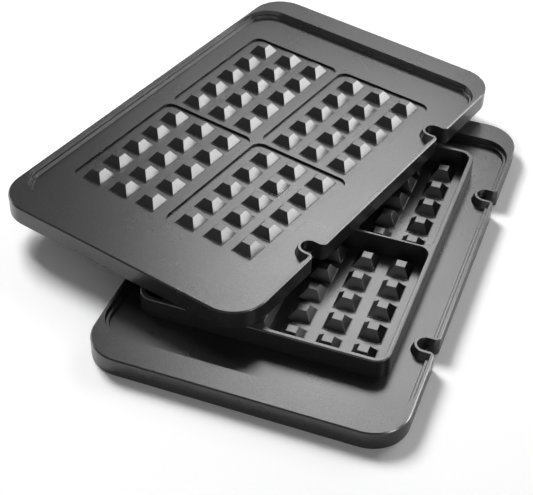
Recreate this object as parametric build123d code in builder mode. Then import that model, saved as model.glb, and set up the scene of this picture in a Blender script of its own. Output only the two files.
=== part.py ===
from build123d import *
from math import radians, tan
import os

# A pair of removable waffle plates for a contact grill, in millimetres.
# Origin: middle of the lower plate's underside. X across, Y along, +Z up.

# Plate outline, the same for both plates
plate_width = 234.0
plate_length = 372.0
corner_radius = 28.0
skirt_height = 15.0
wall = 3.0
rim_edge = 0.9

# Flat rims round the pan
end_rim = 22.0
side_rim = 2.6
pan_radius = 23.0

# Stepped pan wall
pan_depth = 6.5
ledge_drop = 3.6
ledge_width = 1.8
pan_draft = 14.0

# Studs and wells
studs_across = 3
studs_along = 5
pitch_across = 26.5
pitch_along = 24.0
stud_across = 18.2
stud_along = 18.5
stud_height = 7.4
stud_slope = 34.4
plinth_height = 0.4
plinth_inset_across = 0.5
plinth_inset_along = 0.9
lane_side = 8.5
lane_end = 4.8
divider_across = 3.4
divider_along = 3.0
well_radius = 8.0
well_draft = 2.0
grid_shift = -3.5

# Shallow wells of the upper plate and raised block of the lower one
upper_well_depth = 2.0
block_height = 16.0
block_wall = 4.5
block_radius = 12.0
block_draft = 1.5
block_edge = 0.6

# Lock notches in the right-hand long side
notch_spacing = 181.0
notch_depth = 14.9
notch_width = 13.0
notch_mouth_round = 4.0
notch_shelf = 7.4
collar_wall = 2.0
collar_draft = 18.0

# Ribs under the dividers
rib_width = 4.0

# Heater pressed into its groove
heater_diameter = 5.0
heater_height = 2.8
heater_fit = 0.1
heater_half_width = 62.0
heater_front = 112.0
heater_shoulder = 54.0
heater_neck = 21.0
heater_bend = 17.0
heater_rib = 11.0
cold_end_spacing = 44.0

# Terminal block under the far rim
terminal_width = 66.0
terminal_depth = 10.0
terminal_base = 0.6
terminal_height = 8.6
terminal_gap = 2.0
terminal_corner = 1.5
socket_width = 56.0
socket_height = 8.0
boss_diameter = 9.0

# Contact pins, two live and an earth
pin_diameter = 4.0
pin_height = 4.6
pin_spacing = 22.0
pin_reach = 4.0
pin_nose = 1.2
pin_fit = 0.1
earth_bite = 3.5
lug_width = 10.0

# Screws through the terminal block
screw_spacing = 57.0
screw_diameter = 3.0
screw_head_diameter = 5.6
screw_head_height = 1.4
screw_bite = 3.6
screw_recess = 2.2
screw_fit = 0.15

# Where the upper plate rests on the lower one's block
upper_across = -75.0
upper_along = 66.6
upper_turn = -15.1
rest_gap = 0.3

# Levels above a plate's own underside
pan_floor = skirt_height - pan_depth
ledge = skirt_height - ledge_drop
upper_floor = pan_floor - upper_well_depth
lower_floor = pan_floor
block_top = pan_floor + block_height
rim_ceiling = skirt_height - wall
terminal_top = terminal_base + terminal_height

# Pan and wells worked out from the sizes above
pan_width = plate_width - 2 * side_rim
pan_length = plate_length - 2 * end_rim
well_width = (studs_across - 1) * pitch_across + stud_across + 2 * lane_side
well_length = (studs_along - 1) * pitch_along + stud_along + 2 * lane_end
well_step_across = well_width + divider_across
well_step_along = well_length + divider_along
block_width = 2 * well_width + divider_across + 2 * block_wall
block_length = 2 * well_length + divider_along + 2 * block_wall
notch_centre = plate_width / 2 - notch_depth + notch_width / 2
shelf_edge = plate_width / 2 - notch_depth + notch_shelf
terminal_line = plate_length / 2 - wall - terminal_gap - terminal_depth / 2
terminal_face = terminal_line - terminal_depth / 2
neck_line = terminal_face - heater_neck
shoulder_line = neck_line - heater_shoulder
screw_top = terminal_top + screw_bite
screw_seat = terminal_base + screw_recess


def rounded(width, length, radius, grow, mode=Mode.ADD):
    """Sketch a rounded rectangle, each side moved outward by grow."""
    RectangleRounded(width + 2 * grow, length + 2 * grow, radius + grow, mode=mode)


def notches(width, mode=Mode.ADD):
    """Sketch both lock notches at one width, round inside and open to the side."""
    with Locations((notch_centre, -notch_spacing / 2), (notch_centre, notch_spacing / 2)):
        Circle(width / 2, mode=mode)
        Rectangle(notch_depth, width, align=(Align.MIN, Align.CENTER), mode=mode)


def notch_mouths():
    """Sketch each notch's open half, from its shelf out to a mouth with round corners."""
    flare = notch_width + 2 * notch_mouth_round
    middle = plate_width / 2 - notch_mouth_round
    side = notch_width / 2 + notch_mouth_round
    with Locations((shelf_edge, -notch_spacing / 2), (shelf_edge, notch_spacing / 2)):
        Rectangle(notch_depth, notch_width, align=(Align.MIN, Align.CENTER))
    with Locations((middle, -notch_spacing / 2), (middle, notch_spacing / 2)):
        Rectangle(notch_depth, flare, align=(Align.MIN, Align.CENTER))
        with Locations((0, -side), (0, side)):
            Circle(notch_mouth_round, mode=Mode.SUBTRACT)


def heater_route():
    """Draw the heater's loop, open at the far end where its cold ends are."""
    side = cold_end_spacing / 2
    FilletPolyline(
        (-side, terminal_face),
        (-side, neck_line),
        (-heater_half_width, shoulder_line),
        (-heater_half_width, -heater_front),
        (heater_half_width, -heater_front),
        (heater_half_width, shoulder_line),
        (side, neck_line),
        (side, terminal_face),
        radius=heater_bend,
    )


def make_heater(base):
    """Sweep the heater's round sheath along its loop."""
    with BuildPart() as tube:
        with BuildLine(base.offset(heater_height)) as route:
            heater_route()
        with BuildSketch(Plane(origin=route.line @ 0, z_dir=route.line % 0)):
            Circle(heater_diameter / 2)
        sweep()
    return tube.part


def wells():
    """Sketch the four wells."""
    with Locations((grid_shift, 0)):
        with GridLocations(well_step_across, well_step_along, 2, 2):
            rounded(well_width, well_length, well_radius, 0)


def make_block(base):
    """Make the raised block: the walls and dividers round the lower plate's wells."""
    with BuildPart() as block:
        with BuildSketch(base.offset(pan_floor)):
            with Locations((grid_shift, 0)):
                rounded(block_width, block_length, block_radius, 0)
        extrude(amount=block_height, taper=block_draft)
        chamfer(block.edges().group_by(Axis.Z)[-1], length=block_edge)
        with BuildSketch(base.offset(lower_floor)):
            wells()
        extrude(amount=block_top - lower_floor, taper=-well_draft, mode=Mode.SUBTRACT)
    return block.part


def make_casting(base, well_floor):
    """Make one plate: skirt, rims, stepped pan, wells, lock notches and underside."""
    ledge_run = ledge_drop * tan(radians(pan_draft))
    floor_run = (ledge - pan_floor) * tan(radians(pan_draft))
    collar_run = pan_depth * tan(radians(collar_draft))

    with BuildPart() as casting:
        # Solid slab with its rim edge broken
        with BuildSketch(base):
            rounded(plate_width, plate_length, corner_radius, 0)
        extrude(amount=skirt_height)
        chamfer(casting.edges().group_by(Axis.Z)[-1], length=rim_edge)

        # Pan in two drafted steps
        with BuildSketch(base.offset(ledge)):
            rounded(pan_width, pan_length, pan_radius, -ledge_run)
        extrude(amount=ledge_drop, taper=-pan_draft, mode=Mode.SUBTRACT)
        with BuildSketch(base.offset(pan_floor)):
            rounded(pan_width, pan_length, pan_radius, -ledge_run - ledge_width - floor_run)
        extrude(amount=ledge - pan_floor, taper=-pan_draft, mode=Mode.SUBTRACT)

        # Shallow wells, on the upper plate only
        if well_floor < pan_floor:
            with BuildSketch(base.offset(well_floor)):
                wells()
            extrude(amount=pan_floor - well_floor, taper=-well_draft, mode=Mode.SUBTRACT)

        # Collars round the lock notches
        with BuildSketch(base.offset(pan_floor)):
            notches(notch_width + 2 * (collar_wall + collar_run))
            rounded(plate_width, plate_length, corner_radius, 0, mode=Mode.INTERSECT)
        extrude(amount=pan_depth, taper=collar_draft)

        # Lock notches, with a shelf at the round end level with the pan floor
        with BuildSketch(base.offset(pan_floor)):
            notches(notch_width)
        extrude(amount=pan_depth, mode=Mode.SUBTRACT)
        with BuildSketch(base):
            notch_mouths()
        extrude(amount=skirt_height, mode=Mode.SUBTRACT)

        # Hollow underside, leaving the ribs under the dividers and the heater
        for ceiling, keep_wells in ((well_floor - wall, False), (pan_floor - wall, True)):
            with BuildSketch(base):
                rounded(plate_width, plate_length, corner_radius, -wall)
                notches(notch_width + 2 * wall, mode=Mode.SUBTRACT)
                with Locations((grid_shift, 0)):
                    Rectangle(rib_width, plate_length, mode=Mode.SUBTRACT)
                    Rectangle(2 * plate_width, rib_width, mode=Mode.SUBTRACT)
                    if keep_wells:
                        rounded(block_width, block_length, block_radius, 0, mode=Mode.SUBTRACT)
                with BuildLine():
                    heater_route()
                trace(line_width=heater_rib, mode=Mode.SUBTRACT)
            extrude(amount=ceiling, mode=Mode.SUBTRACT)

        # Deeper hollow under the two end rims, round the earth pin's lug
        with BuildSketch(base):
            rounded(plate_width, plate_length, corner_radius, -wall)
            Rectangle(plate_width, pan_length + 2 * wall, mode=Mode.SUBTRACT)
            with Locations((0, terminal_face)):
                Rectangle(lug_width, end_rim, align=(Align.CENTER, Align.MAX), mode=Mode.SUBTRACT)
        extrude(amount=rim_ceiling, mode=Mode.SUBTRACT)

        # Heater groove, open below
        with BuildSketch(base):
            with BuildLine():
                heater_route()
            trace(line_width=heater_diameter + 2 * heater_fit)
        extrude(amount=heater_height + heater_diameter / 2 + heater_fit, mode=Mode.SUBTRACT)

        # Bosses for the terminal block's screws
        with BuildSketch(base.offset(terminal_top)):
            with Locations((0, terminal_line)):
                with GridLocations(screw_spacing, 1, 2, 1):
                    Circle(boss_diameter / 2)
        extrude(amount=rim_ceiling - terminal_top)
        with BuildSketch(base.offset(terminal_top)):
            with Locations((0, terminal_line)):
                with GridLocations(screw_spacing, 1, 2, 1):
                    Circle(screw_diameter / 2)
        extrude(amount=screw_bite, mode=Mode.SUBTRACT)

        # Opening for the grill's socket, and the earth pin's hole
        with BuildSketch(base):
            with Locations((0, terminal_face)):
                Rectangle(socket_width, plate_length, align=(Align.CENTER, Align.MIN))
        extrude(amount=socket_height, mode=Mode.SUBTRACT)
        with BuildSketch(base * Plane.XZ.offset(-terminal_face)):
            with Locations((0, pin_height)):
                Circle(pin_diameter / 2)
        extrude(amount=earth_bite, mode=Mode.SUBTRACT)
    return casting.part


def make_stud():
    """Make one stud: a low plinth with a pyramid cut flat at its top."""
    with BuildPart() as stud:
        with BuildSketch():
            Rectangle(stud_across, stud_along)
        extrude(amount=plinth_height)
        with BuildSketch(Plane.XY.offset(plinth_height)):
            Rectangle(stud_across - 2 * plinth_inset_across, stud_along - 2 * plinth_inset_along)
        extrude(amount=stud_height - plinth_height, taper=stud_slope)
    return stud.part


def make_stud_group(base, well_floor, side, end):
    """Stand one well's studs on its floor."""
    stud = make_stud()
    middle = (grid_shift + side * well_step_across / 2, end * well_step_along / 2)
    with BuildPart() as group:
        with Locations(base.offset(well_floor)):
            with Locations(middle):
                with GridLocations(pitch_across, pitch_along, studs_across, studs_along):
                    add(stud)
    return group.part


def make_terminal_block(base):
    """Make the ceramic block that holds the pins and screws up under the far rim."""
    with BuildPart() as block:
        with BuildSketch(base.offset(terminal_base)):
            with Locations((0, terminal_line)):
                Rectangle(terminal_width, terminal_depth)
        extrude(amount=terminal_height)
        chamfer(block.edges().filter_by(Axis.Z), length=terminal_corner)
        with BuildSketch(base * Plane.XZ.offset(-terminal_face)):
            with Locations((0, pin_height)):
                with GridLocations(pin_spacing, 1, 3, 1):
                    Circle(pin_diameter / 2 + pin_fit)
        extrude(amount=-terminal_depth, mode=Mode.SUBTRACT)
        with BuildSketch(base.offset(terminal_base)):
            with Locations((0, terminal_line)):
                with GridLocations(screw_spacing, 1, 2, 1):
                    Circle(screw_diameter / 2 + screw_fit)
        extrude(amount=terminal_height, mode=Mode.SUBTRACT)
        with BuildSketch(base.offset(terminal_base)):
            with Locations((0, terminal_line)):
                with GridLocations(screw_spacing, 1, 2, 1):
                    Circle(screw_head_diameter / 2 + screw_fit)
        extrude(amount=screw_recess, mode=Mode.SUBTRACT)
    return block.part


def make_pins(base, spots, bite):
    """Make round-nosed contact pins that reach into the socket opening."""
    length = bite + terminal_depth + pin_reach
    with BuildPart() as pins:
        with BuildSketch(base * Plane.XZ.offset(bite - terminal_face)):
            with Locations(*spots):
                Circle(pin_diameter / 2)
        extrude(amount=-length)
        tips = pins.faces().filter_by(GeomType.PLANE).sort_by(Axis.Y)[-len(spots):]
        chamfer(tips.edges(), length=pin_nose)
    return pins.part


def make_screws(base):
    """Make the two screws that hold the terminal block."""
    with BuildPart() as screws:
        with BuildSketch(base.offset(screw_seat - screw_head_height)):
            with Locations((0, terminal_line)):
                with GridLocations(screw_spacing, 1, 2, 1):
                    Circle(screw_head_diameter / 2)
        extrude(amount=screw_head_height)
        with BuildSketch(base.offset(screw_seat)):
            with Locations((0, terminal_line)):
                with GridLocations(screw_spacing, 1, 2, 1):
                    Circle(screw_diameter / 2)
        extrude(amount=screw_top - screw_seat)
    return screws.part


def save(part, label):
    """Label one piece and write its STEP file."""
    part.label = label
    export_step(part, "parts/" + label + ".step")


def make_plate(name, base, well_floor):
    """Make and write every piece that the two plates have alike."""
    save(make_casting(base, well_floor), name + "_plate")
    for side, side_name in ((-1, "left"), (1, "right")):
        for end, end_name in ((-1, "front"), (1, "back")):
            group = make_stud_group(base, well_floor, side, end)
            save(group, name + "_studs_" + end_name + "_" + side_name)
    live_pins = ((-pin_spacing, pin_height), (pin_spacing, pin_height))
    save(make_heater(base), name + "_heater")
    save(make_terminal_block(base), name + "_terminal_block")
    save(make_pins(base, live_pins, 0), name + "_contact_pins")
    save(make_pins(base, ((0, pin_height),), earth_bite), name + "_earth_pin")
    save(make_screws(base), name + "_terminal_screws")


os.makedirs("parts", exist_ok=True)
upper_base = Plane(
    origin=(upper_across, upper_along, block_top + rest_gap),
    x_dir=Vector(1, 0, 0).rotate(Axis.Z, upper_turn),
    z_dir=(0, 0, 1),
)
make_plate("lower", Plane.XY, lower_floor)
save(make_block(Plane.XY), "lower_block")
make_plate("upper", upper_base, upper_floor)
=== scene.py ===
import math

import bpy
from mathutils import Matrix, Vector


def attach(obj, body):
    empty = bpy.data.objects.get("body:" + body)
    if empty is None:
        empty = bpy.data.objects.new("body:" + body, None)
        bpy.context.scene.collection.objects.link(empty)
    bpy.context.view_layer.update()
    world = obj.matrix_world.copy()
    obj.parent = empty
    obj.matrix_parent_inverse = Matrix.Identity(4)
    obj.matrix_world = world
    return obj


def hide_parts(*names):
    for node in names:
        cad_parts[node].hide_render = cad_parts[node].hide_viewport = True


MM = 0.001

# Edges of the castings and studs, softened by the mould and the coating
CASTING_EDGE = 0.9 * MM
CASTING_EDGE_STEPS = 3
STUD_EDGE = 0.4 * MM
STUD_EDGE_STEPS = 2

# How the CAD triangles are joined before the edges are softened, angles in degrees
MERGE_DISTANCE = 0.002 * MM
FLAT_ANGLE = 0.5
EDGE_ANGLE = 25.0
SMOOTH_ANGLE = 40.0
FLAT_WEIGHT = 100

# Non-stick coating: two greys of its grain, gloss between two roughnesses,
# and the orange peel and grain in its relief
GRAIN_SCALE = 1900.0
GRAIN_DETAIL = 3.0
GRAIN_ROUGHNESS = 0.6
GRAIN_DARK = (0.30, (0.062, 0.062, 0.062))
GRAIN_PALE = (0.72, (0.112, 0.112, 0.112))
GRAIN_HEIGHT = 0.03 * MM
GRAIN_STRENGTH = 0.4
CLOUD_SCALE = 26.0
CLOUD_DETAIL = 3.0
PEEL_SCALE = 420.0
PEEL_DETAIL = 2.0
PEEL_HEIGHT = 0.06 * MM
PEEL_STRENGTH = 0.3
COATING_ROUGHNESS = (0.25, 0.31)
COATING_METALLIC = 0.8
COATING_IOR = 1.55

# Hidden metal parts: colour, roughness and scale of the drawn or plated texture
STEEL_SHEATH = ((0.42, 0.40, 0.37), 0.42, 300.0)
PLATED_BRASS = ((0.78, 0.66, 0.38), 0.25, 500.0)
ZINC_PLATE = ((0.62, 0.62, 0.63), 0.3, 500.0)
METAL_DETAIL = 4.0
METAL_SHADE = 0.78
METAL_RELIEF = 0.05 * MM

# Moulded terminal blocks
MOULDING_SCALE = 700.0
MOULDING_DETAIL = 5.0
MOULDING_DARK = (0.52, 0.49, 0.43)
MOULDING_PALE = (0.63, 0.60, 0.54)
MOULDING_RELIEF = 0.1 * MM
MOULDING_ROUGHNESS = 0.75

# Where the darker and paler tints of a texture start, and the relief's strength
TINT_LOW = 0.3
TINT_HIGH = 0.7
RELIEF_STRENGTH = 0.4

# Camera, in metres and degrees
CAMERA_PLACE = (0.2219, -0.7773, 0.6964)
CAMERA_AIM = (-0.0298, -0.0406, 0.020)
CAMERA_ROLL = 1.968
CAMERA_LENS = 92.5
CAMERA_SENSOR = 36.0
CAMERA_NEAR = 0.01

# Floor, in metres: its greys, and where its shadow gives way to plain white
FLOOR_SIZE = 30.0
FLOOR_GREY = 0.6
FLOOR_ROUGHNESS = 0.9
FLOOR_GAIN = 1.1
SHADOW_REACH = 0.42
WHITE_FROM = 2.0 * SHADOW_REACH

# Surroundings: white at the horizon, dim from a little above it
WORLD_LIGHT = 0.12
HORIZON_TOP = 0.06
DIM_FROM = 0.16

# Soft boxes at one distance from the object: name, degrees from +Y towards +X,
# degrees up, size in metres, radiance, roll, and whether matt surfaces take
# their light too
BOX_DISTANCE = 3.0
SOFT_BOXES = (
    ("back_box", -13.5, 44.5, (0.84, 1.0), 7.2, 14.0, False),
    ("back_right_box", 27.0, 34.0, (1.3, 1.2), 4.6, 0.0, True),
    ("right_edge_light", 108.0, 28.0, (0.8, 0.8), 14.0, 0.0, False),
    ("right_card", 60.0, 13.0, (1.35, 1.17), 11.0, 0.0, False),
    ("left_card", -78.0, 12.0, (2.0, 1.0), 3.5, 0.0, False),
    ("back_card", 0.0, 11.0, (4.1, 0.95), 1.6, 0.0, True),
    ("front_card", 170.0, 14.0, (5.7, 1.28), 0.8, 0.0, True),
)

# Key light, which gives the shadow and stays out of the gloss
KEY_LIGHT = ("key", -54.0, 43.0, (1.1, 1.1), 24.5)

WELLS = ("front_left", "front_right", "back_left", "back_right")


def deselect_all():
    """Leave nothing selected."""
    for obj in bpy.context.selected_objects:
        obj.select_set(False)


def make_active(obj):
    """Select one object and make it the active one."""
    deselect_all()
    obj.select_set(True)
    bpy.context.view_layer.objects.active = obj


def new_material(name):
    """Start a node material and return it with its node tree and shader."""
    material = bpy.data.materials.new(name)
    material.use_nodes = True
    tree = material.node_tree
    return material, tree, tree.nodes["Principled BSDF"]


def add_noise(tree, scale, detail, roughness=0.5):
    """Add a noise texture on the object's own coordinates."""
    place = tree.nodes.new("ShaderNodeTexCoord")
    noise = tree.nodes.new("ShaderNodeTexNoise")
    noise.inputs["Scale"].default_value = scale
    noise.inputs["Detail"].default_value = detail
    noise.inputs["Roughness"].default_value = roughness
    tree.links.new(place.outputs["Object"], noise.inputs["Vector"])
    return noise


def add_ramp(tree, source, low, high):
    """Turn a texture's value into a colour between two greys or tints."""
    ramp = tree.nodes.new("ShaderNodeValToRGB")
    ramp.color_ramp.elements[0].position = low[0]
    ramp.color_ramp.elements[0].color = (*low[1], 1.0)
    ramp.color_ramp.elements[1].position = high[0]
    ramp.color_ramp.elements[1].color = (*high[1], 1.0)
    tree.links.new(source, ramp.inputs["Fac"])
    return ramp


def add_bump(tree, shader, source, distance, strength, below=None):
    """Raise fine relief on a shader, over an earlier bump if there is one."""
    bump = tree.nodes.new("ShaderNodeBump")
    bump.inputs["Distance"].default_value = distance
    bump.inputs["Strength"].default_value = strength
    tree.links.new(source, bump.inputs["Height"])
    if below:
        tree.links.new(below.outputs["Normal"], bump.inputs["Normal"])
    tree.links.new(bump.outputs["Normal"], shader.inputs["Normal"])
    return bump


def non_stick_coating():
    """Sprayed graphite-grey non-stick coating: satin, with fine mineral grain."""
    material, tree, shader = new_material("non_stick_coating")
    grain = add_noise(tree, GRAIN_SCALE, GRAIN_DETAIL, GRAIN_ROUGHNESS)
    cloud = add_noise(tree, CLOUD_SCALE, CLOUD_DETAIL)
    colour = add_ramp(tree, grain.outputs["Fac"], GRAIN_DARK, GRAIN_PALE)
    tree.links.new(colour.outputs["Color"], shader.inputs["Base Color"])
    gloss = tree.nodes.new("ShaderNodeMapRange")
    gloss.inputs["To Min"].default_value = COATING_ROUGHNESS[0]
    gloss.inputs["To Max"].default_value = COATING_ROUGHNESS[1]
    tree.links.new(cloud.outputs["Fac"], gloss.inputs["Value"])
    tree.links.new(gloss.outputs["Result"], shader.inputs["Roughness"])
    peel = add_noise(tree, PEEL_SCALE, PEEL_DETAIL)
    first = add_bump(tree, shader, peel.outputs["Fac"], PEEL_HEIGHT, PEEL_STRENGTH)
    add_bump(tree, shader, grain.outputs["Fac"], GRAIN_HEIGHT, GRAIN_STRENGTH, first)
    shader.inputs["Metallic"].default_value = COATING_METALLIC
    shader.inputs["IOR"].default_value = COATING_IOR
    return material


def metal(name, colour, roughness, grain_scale):
    """Plain metal with fine drawn or plated texture."""
    material, tree, shader = new_material(name)
    grain = add_noise(tree, grain_scale, METAL_DETAIL)
    dark = tuple(METAL_SHADE * part for part in colour)
    shade = add_ramp(tree, grain.outputs["Fac"], (TINT_LOW, dark), (TINT_HIGH, colour))
    tree.links.new(shade.outputs["Color"], shader.inputs["Base Color"])
    add_bump(tree, shader, grain.outputs["Fac"], METAL_RELIEF, RELIEF_STRENGTH)
    shader.inputs["Metallic"].default_value = 1.0
    shader.inputs["Roughness"].default_value = roughness
    return material


def heat_resistant_moulding():
    """Matt, slightly chalky moulding of the terminal blocks."""
    material, tree, shader = new_material("heat_resistant_moulding")
    grain = add_noise(tree, MOULDING_SCALE, MOULDING_DETAIL)
    shade = add_ramp(
        tree, grain.outputs["Fac"], (TINT_LOW, MOULDING_DARK), (TINT_HIGH, MOULDING_PALE)
    )
    tree.links.new(shade.outputs["Color"], shader.inputs["Base Color"])
    add_bump(tree, shader, grain.outputs["Fac"], MOULDING_RELIEF, RELIEF_STRENGTH)
    shader.inputs["Roughness"].default_value = MOULDING_ROUGHNESS
    return material


def paint(obj, material):
    """Give an object one material all over."""
    obj.data.materials.clear()
    obj.data.materials.append(material)


def softened_copy(node, name, edge, steps):
    """Copy a CAD node, merge its triangles, round its edges and keep its flats flat."""
    piece = node.copy()
    piece.data = node.data.copy()
    piece.name = name
    piece.data.name = name
    bpy.context.scene.collection.objects.link(piece)
    make_active(piece)
    bpy.ops.object.mode_set(mode="EDIT")
    bpy.ops.mesh.select_all(action="SELECT")
    bpy.ops.mesh.remove_doubles(threshold=MERGE_DISTANCE)
    bpy.ops.mesh.dissolve_limited(angle_limit=math.radians(FLAT_ANGLE))
    bpy.ops.object.mode_set(mode="OBJECT")
    bevel = piece.modifiers.new("edge", "BEVEL")
    bevel.width = edge
    bevel.segments = steps
    bevel.limit_method = "ANGLE"
    bevel.angle_limit = math.radians(EDGE_ANGLE)
    bpy.ops.object.modifier_apply(modifier="edge")
    bpy.ops.object.shade_smooth_by_angle(angle=math.radians(SMOOTH_ANGLE))
    flats = piece.modifiers.new("flats", "WEIGHTED_NORMAL")
    flats.weight = FLAT_WEIGHT
    flats.keep_sharp = True
    bpy.ops.object.modifier_apply(modifier="flats")
    return piece


def dress_plate(body, coating):
    """Replace one plate's casting, block and studs by softened, coated copies."""
    names = [body + "_plate"] + [body + "_studs_" + well for well in WELLS]
    if body == "lower":
        names.append("lower_block")
    for node_name in names:
        if "studs" in node_name:
            edge, steps = STUD_EDGE, STUD_EDGE_STEPS
        else:
            edge, steps = CASTING_EDGE, CASTING_EDGE_STEPS
        piece = softened_copy(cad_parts[node_name], node_name + "_coated", edge, steps)
        paint(piece, coating)
        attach(piece, body)
        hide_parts(node_name)


def dress_underside(body, finishes):
    """Give the heater, terminal block, pins and screws of one plate their finish."""
    for ending, material in finishes.items():
        paint(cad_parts[body + "_" + ending], material)


def add_soft_light(name, turn, height, size, radiance, roll=0.0):
    """Add a soft box that faces the object."""
    away = BOX_DISTANCE * math.cos(math.radians(height))
    place = (
        away * math.sin(math.radians(turn)),
        away * math.cos(math.radians(turn)),
        BOX_DISTANCE * math.sin(math.radians(height)),
    )
    bpy.ops.object.light_add(type="AREA", location=place)
    lamp = bpy.context.object
    lamp.name = name
    lamp.data.shape = "RECTANGLE"
    lamp.data.size = size[0]
    lamp.data.size_y = size[1]
    lamp.data.energy = radiance * math.pi * size[0] * size[1]
    face_point(lamp, place, (0, 0, 0))
    lamp.rotation_euler.rotate_axis("Z", math.radians(roll))
    return lamp


def face_point(obj, place, aim):
    """Turn an object's -Z axis towards a point."""
    obj.rotation_euler = (Vector(aim) - Vector(place)).to_track_quat("-Z", "Y").to_euler()


def add_camera():
    """Place the camera where the photo was taken from."""
    bpy.ops.object.camera_add(location=CAMERA_PLACE)
    camera = bpy.context.object
    face_point(camera, CAMERA_PLACE, CAMERA_AIM)
    camera.rotation_euler.rotate_axis("Z", math.radians(CAMERA_ROLL))
    camera.data.sensor_width = CAMERA_SENSOR
    camera.data.lens = CAMERA_LENS
    camera.data.clip_start = CAMERA_NEAR
    bpy.context.scene.camera = camera


def seen_directly(tree, kinds):
    """Value of 1 where a ray of one of these kinds arrives."""
    ray = tree.nodes.new("ShaderNodeLightPath")
    total = ray.outputs[kinds[0]]
    for kind in kinds[1:]:
        either = tree.nodes.new("ShaderNodeMath")
        either.operation = "MAXIMUM"
        tree.links.new(total, either.inputs[0])
        tree.links.new(ray.outputs[kind], either.inputs[1])
        total = either.outputs["Value"]
    return total


def add_floor():
    """Add a floor that holds the soft shadow and turns to plain white further out."""
    bpy.ops.mesh.primitive_plane_add(size=FLOOR_SIZE, location=(0, 0, 0))
    floor = bpy.context.object
    floor.name = "floor"
    material, tree, shader = new_material("white_floor")
    shader.inputs["Base Color"].default_value = (FLOOR_GREY, FLOOR_GREY, FLOOR_GREY, 1.0)
    shader.inputs["Roughness"].default_value = FLOOR_ROUGHNESS
    seen = tree.nodes.new("ShaderNodeBsdfDiffuse")
    seen.inputs["Color"].default_value = (FLOOR_GAIN, FLOOR_GAIN, FLOOR_GAIN, 1.0)
    far = tree.nodes.new("ShaderNodeEmission")
    place = tree.nodes.new("ShaderNodeTexCoord")
    length = tree.nodes.new("ShaderNodeVectorMath")
    length.operation = "LENGTH"
    tree.links.new(place.outputs["Object"], length.inputs[0])
    reach = tree.nodes.new("ShaderNodeMapRange")
    reach.interpolation_type = "SMOOTHSTEP"
    reach.inputs["From Min"].default_value = SHADOW_REACH
    reach.inputs["From Max"].default_value = WHITE_FROM
    tree.links.new(length.outputs["Value"], reach.inputs["Value"])
    outward = tree.nodes.new("ShaderNodeMixShader")
    tree.links.new(reach.outputs["Result"], outward.inputs["Fac"])
    tree.links.new(seen.outputs["BSDF"], outward.inputs[1])
    tree.links.new(far.outputs["Emission"], outward.inputs[2])
    mix = tree.nodes.new("ShaderNodeMixShader")
    direct = seen_directly(tree, ("Is Camera Ray", "Is Glossy Ray", "Is Transmission Ray"))
    tree.links.new(direct, mix.inputs["Fac"])
    tree.links.new(shader.outputs["BSDF"], mix.inputs[1])
    tree.links.new(outward.outputs["Shader"], mix.inputs[2])
    tree.links.new(mix.outputs["Shader"], tree.nodes["Material Output"].inputs["Surface"])
    paint(floor, material)


def light_world():
    """White surroundings for the camera; a dim studio with a white horizon for the object."""
    world = bpy.data.worlds.new("studio")
    bpy.context.scene.world = world
    world.use_nodes = True
    tree = world.node_tree
    room = tree.nodes["Background"]
    place = tree.nodes.new("ShaderNodeTexCoord")
    height = tree.nodes.new("ShaderNodeSeparateXYZ")
    tree.links.new(place.outputs["Generated"], height.inputs["Vector"])
    ramp = tree.nodes.new("ShaderNodeValToRGB")
    ramp.color_ramp.elements[0].position = HORIZON_TOP
    ramp.color_ramp.elements[0].color = (1.0, 1.0, 1.0, 1.0)
    ramp.color_ramp.elements[1].position = DIM_FROM
    ramp.color_ramp.elements[1].color = (WORLD_LIGHT, WORLD_LIGHT, WORLD_LIGHT, 1.0)
    tree.links.new(height.outputs["Z"], ramp.inputs["Fac"])
    tree.links.new(ramp.outputs["Color"], room.inputs["Color"])
    white = tree.nodes.new("ShaderNodeBackground")
    white.inputs["Color"].default_value = (1.0, 1.0, 1.0, 1.0)
    mix = tree.nodes.new("ShaderNodeMixShader")
    direct = seen_directly(tree, ("Is Camera Ray", "Is Transmission Ray"))
    tree.links.new(direct, mix.inputs["Fac"])
    tree.links.new(room.outputs["Background"], mix.inputs[1])
    tree.links.new(white.outputs["Background"], mix.inputs[2])
    tree.links.new(mix.outputs["Shader"], tree.nodes["World Output"].inputs["Surface"])


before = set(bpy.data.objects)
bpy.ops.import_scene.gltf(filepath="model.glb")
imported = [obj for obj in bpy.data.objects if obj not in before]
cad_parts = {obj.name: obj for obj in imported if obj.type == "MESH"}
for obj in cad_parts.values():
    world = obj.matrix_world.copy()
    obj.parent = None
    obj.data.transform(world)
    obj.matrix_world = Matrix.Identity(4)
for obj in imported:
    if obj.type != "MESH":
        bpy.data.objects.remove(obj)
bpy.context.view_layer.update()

coating = non_stick_coating()
finishes = {
    "heater": metal("annealed_steel_sheath", *STEEL_SHEATH),
    "terminal_block": heat_resistant_moulding(),
    "contact_pins": metal("plated_brass", *PLATED_BRASS),
    "earth_pin": metal("plated_brass_earth", *PLATED_BRASS),
    "terminal_screws": metal("zinc_plated_steel", *ZINC_PLATE),
}
for body in ("lower", "upper"):
    dress_plate(body, coating)
    dress_underside(body, finishes)

add_camera()
add_floor()
light_world()
for *box, on_matt in SOFT_BOXES:
    add_soft_light(*box).visible_diffuse = on_matt
add_soft_light(*KEY_LIGHT).visible_glossy = False
bpy.context.scene.view_settings.view_transform = "Standard"
